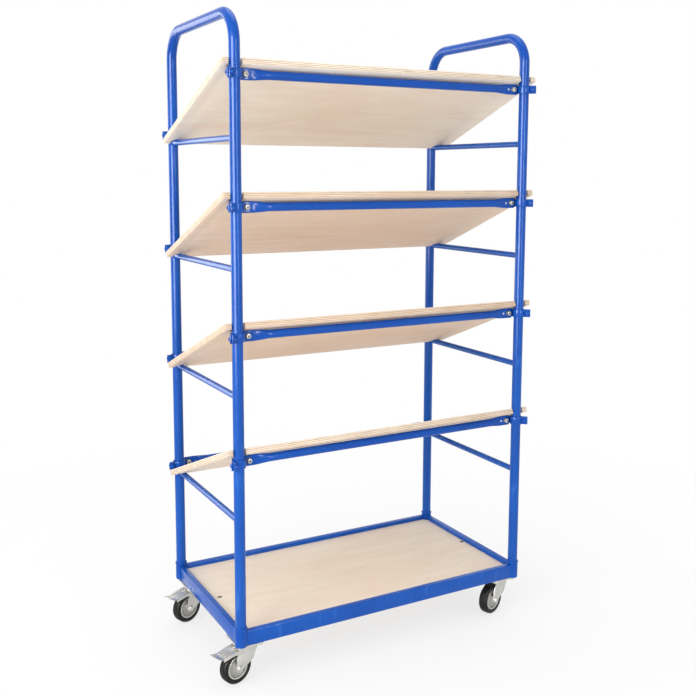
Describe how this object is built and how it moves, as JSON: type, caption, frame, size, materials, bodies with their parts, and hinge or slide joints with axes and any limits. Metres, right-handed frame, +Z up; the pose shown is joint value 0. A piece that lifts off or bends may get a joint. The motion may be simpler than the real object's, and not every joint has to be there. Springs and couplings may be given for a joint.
{
  "type": "sloped shelf cart",
  "caption": "Tube-framed trolley with tilted plywood shelves on clamped rails that slide up the uprights, a plywood base deck, hand-grip hoops and swivel casters, some with foot brakes.",
  "frame": {"origin": "on the floor, under the middle of the cart's outer box", "axes": "+Z up, X along the cart with the braked casters at -X, shelves' high side towards -Y and low side towards +Y"},
  "size_m": [1.123, 0.584, 1.956],
  "materials": {
    "blue_powder_coat": "smooth glossy blue powder coat on steel tube",
    "birch_plywood": "pale sanded birch plywood with clear matt varnish, ply lines on the edges",
    "bright_zinc": "bright zinc-plated pressed steel",
    "grey_rim": "light grey moulded plastic wheel centre",
    "black_rubber": "matt black solid rubber"
  },
  "bodies": {
    "base": {"base_frame": "blue_powder_coat", "base_deck": "birch_plywood", "hoop_left": "blue_powder_coat", "hoop_right": "blue_powder_coat", "crossbar_left_1": "blue_powder_coat", "crossbar_left_2": "blue_powder_coat", "crossbar_left_3": "blue_powder_coat", "crossbar_left_4": "blue_powder_coat", "crossbar_right_1": "blue_powder_coat", "crossbar_right_2": "blue_powder_coat", "crossbar_right_3": "blue_powder_coat", "crossbar_right_4": "blue_powder_coat", "caster_plate_left_high": "bright_zinc", "caster_plate_left_low": "bright_zinc", "caster_plate_right_high": "bright_zinc", "caster_plate_right_low": "bright_zinc"},
    "fork_left_high": {"caster_fork_left_high": "bright_zinc"},
    "wheel_left_high": {"wheel_rim_left_high": "grey_rim", "wheel_tyre_left_high": "black_rubber"},
    "pedal_left_high": {"brake_pedal_left_high": "bright_zinc"},
    "fork_left_low": {"caster_fork_left_low": "bright_zinc"},
    "wheel_left_low": {"wheel_rim_left_low": "grey_rim", "wheel_tyre_left_low": "black_rubber"},
    "pedal_left_low": {"brake_pedal_left_low": "bright_zinc"},
    "fork_right_high": {"caster_fork_right_high": "bright_zinc"},
    "wheel_right_high": {"wheel_rim_right_high": "grey_rim", "wheel_tyre_right_high": "black_rubber"},
    "fork_right_low": {"caster_fork_right_low": "bright_zinc"},
    "wheel_right_low": {"wheel_rim_right_low": "grey_rim", "wheel_tyre_right_low": "black_rubber"},
    "high_rail_set_1": {"high_rail_1": "blue_powder_coat", "high_clamp_left_1": "blue_powder_coat", "high_clamp_right_1": "blue_powder_coat"},
    "low_rail_set_1": {"low_rail_1": "blue_powder_coat", "low_clamp_left_1": "blue_powder_coat", "low_clamp_right_1": "blue_powder_coat"},
    "shelf_board_1": {"shelf_1": "birch_plywood"},
    "high_rail_set_2": {"high_rail_2": "blue_powder_coat", "high_clamp_left_2": "blue_powder_coat", "high_clamp_right_2": "blue_powder_coat"},
    "low_rail_set_2": {"low_rail_2": "blue_powder_coat", "low_clamp_left_2": "blue_powder_coat", "low_clamp_right_2": "blue_powder_coat"},
    "shelf_board_2": {"shelf_2": "birch_plywood"},
    "high_rail_set_3": {"high_rail_3": "blue_powder_coat", "high_clamp_left_3": "blue_powder_coat", "high_clamp_right_3": "blue_powder_coat"},
    "low_rail_set_3": {"low_rail_3": "blue_powder_coat", "low_clamp_left_3": "blue_powder_coat", "low_clamp_right_3": "blue_powder_coat"},
    "shelf_board_3": {"shelf_3": "birch_plywood"},
    "high_rail_set_4": {"high_rail_4": "blue_powder_coat", "high_clamp_left_4": "blue_powder_coat", "high_clamp_right_4": "blue_powder_coat"},
    "low_rail_set_4": {"low_rail_4": "blue_powder_coat", "low_clamp_left_4": "blue_powder_coat", "low_clamp_right_4": "blue_powder_coat"},
    "shelf_board_4": {"shelf_4": "birch_plywood"}
  },
  "joints": [
    {"name": "swivel_left_high", "type": "hinge", "parent": "base", "child": "fork_left_high", "pos_m": [-0.44654, -0.21749, 0.1105], "axis": [0, 0, 1], "continuous": true},
    {"name": "wheel_spin_left_high", "type": "hinge", "parent": "fork_left_high", "child": "wheel_left_high", "pos_m": [-0.48132, -0.2268, 0.05], "axis": [-0.2588, 0.9659, 0], "continuous": true},
    {"name": "brake_left_high", "type": "hinge", "parent": "fork_left_high", "child": "pedal_left_high", "pos_m": [-0.47552, -0.22525, 0.098], "axis": [0.2588, -0.9659, 0], "range_deg": [0, 14]},
    {"name": "swivel_left_low", "type": "hinge", "parent": "base", "child": "fork_left_low", "pos_m": [-0.44654, 0.22251, 0.1105], "axis": [0, 0, 1], "continuous": true},
    {"name": "wheel_spin_left_low", "type": "hinge", "parent": "fork_left_low", "child": "wheel_left_low", "pos_m": [-0.48037, 0.2102, 0.05], "axis": [-0.342, 0.9397, 0], "continuous": true},
    {"name": "brake_left_low", "type": "hinge", "parent": "fork_left_low", "child": "pedal_left_low", "pos_m": [-0.47473, 0.21225, 0.098], "axis": [0.342, -0.9397, 0], "range_deg": [0, 14]},
    {"name": "swivel_right_high", "type": "hinge", "parent": "base", "child": "fork_right_high", "pos_m": [0.49146, -0.21749, 0.1105], "axis": [0, 0, 1], "continuous": true},
    {"name": "wheel_spin_right_high", "type": "hinge", "parent": "fork_right_high", "child": "wheel_right_high", "pos_m": [0.45722, -0.22861, 0.05], "axis": [-0.309, 0.9511, 0], "continuous": true},
    {"name": "swivel_right_low", "type": "hinge", "parent": "base", "child": "fork_right_low", "pos_m": [0.49146, 0.22251, 0.1105], "axis": [0, 0, 1], "continuous": true},
    {"name": "wheel_spin_right_low", "type": "hinge", "parent": "fork_right_low", "child": "wheel_right_low", "pos_m": [0.45722, 0.21139, 0.05], "axis": [-0.309, 0.9511, 0], "continuous": true},
    {"name": "high_rail_slide_1", "type": "slide", "parent": "base", "child": "high_rail_set_1", "axis": [0, 0, 1], "range_m": [-0.01, 0.04]},
    {"name": "shelf_tilt_1", "type": "hinge", "parent": "base", "child": "shelf_board_1", "pos_m": [0.02246, 0.20651, 0.5149], "axis": [-1, 0, 0], "range_deg": [-1.1, 4.4]},
    {"name": "low_rail_slide_1", "type": "slide", "parent": "base", "child": "low_rail_set_1", "axis": [0, 0, 1], "range_m": [0, 0.04]},
    {"name": "high_rail_slide_2", "type": "slide", "parent": "base", "child": "high_rail_set_2", "axis": [0, 0, 1], "range_m": [-0.01, 0.04]},
    {"name": "shelf_tilt_2", "type": "hinge", "parent": "base", "child": "shelf_board_2", "pos_m": [0.02246, 0.20651, 0.87836], "axis": [-1, 0, 0], "range_deg": [-1.1, 4.4]},
    {"name": "low_rail_slide_2", "type": "slide", "parent": "base", "child": "low_rail_set_2", "axis": [0, 0, 1], "range_m": [0, 0.04]},
    {"name": "high_rail_slide_3", "type": "slide", "parent": "base", "child": "high_rail_set_3", "axis": [0, 0, 1], "range_m": [-0.01, 0.04]},
    {"name": "shelf_tilt_3", "type": "hinge", "parent": "base", "child": "shelf_board_3", "pos_m": [0.02246, 0.20651, 1.24182], "axis": [-1, 0, 0], "range_deg": [-1.1, 4.4]},
    {"name": "low_rail_slide_3", "type": "slide", "parent": "base", "child": "low_rail_set_3", "axis": [0, 0, 1], "range_m": [0, 0.04]},
    {"name": "high_rail_slide_4", "type": "slide", "parent": "base", "child": "high_rail_set_4", "axis": [0, 0, 1], "range_m": [-0.01, 0.04]},
    {"name": "shelf_tilt_4", "type": "hinge", "parent": "base", "child": "shelf_board_4", "pos_m": [0.02246, 0.20651, 1.60529], "axis": [-1, 0, 0], "range_deg": [-1.1, 4.4]},
    {"name": "low_rail_slide_4", "type": "slide", "parent": "base", "child": "low_rail_set_4", "axis": [0, 0, 1], "range_m": [0, 0.04]}
  ],
  "couplings": [
    {"joint": "shelf_tilt_1", "follows": "high_rail_slide_1", "rad_per_m": 1.8941},
    {"joint": "shelf_tilt_2", "follows": "high_rail_slide_2", "rad_per_m": 1.8941},
    {"joint": "shelf_tilt_3", "follows": "high_rail_slide_3", "rad_per_m": 1.8941},
    {"joint": "shelf_tilt_4", "follows": "high_rail_slide_4", "rad_per_m": 1.8941}
  ]
}
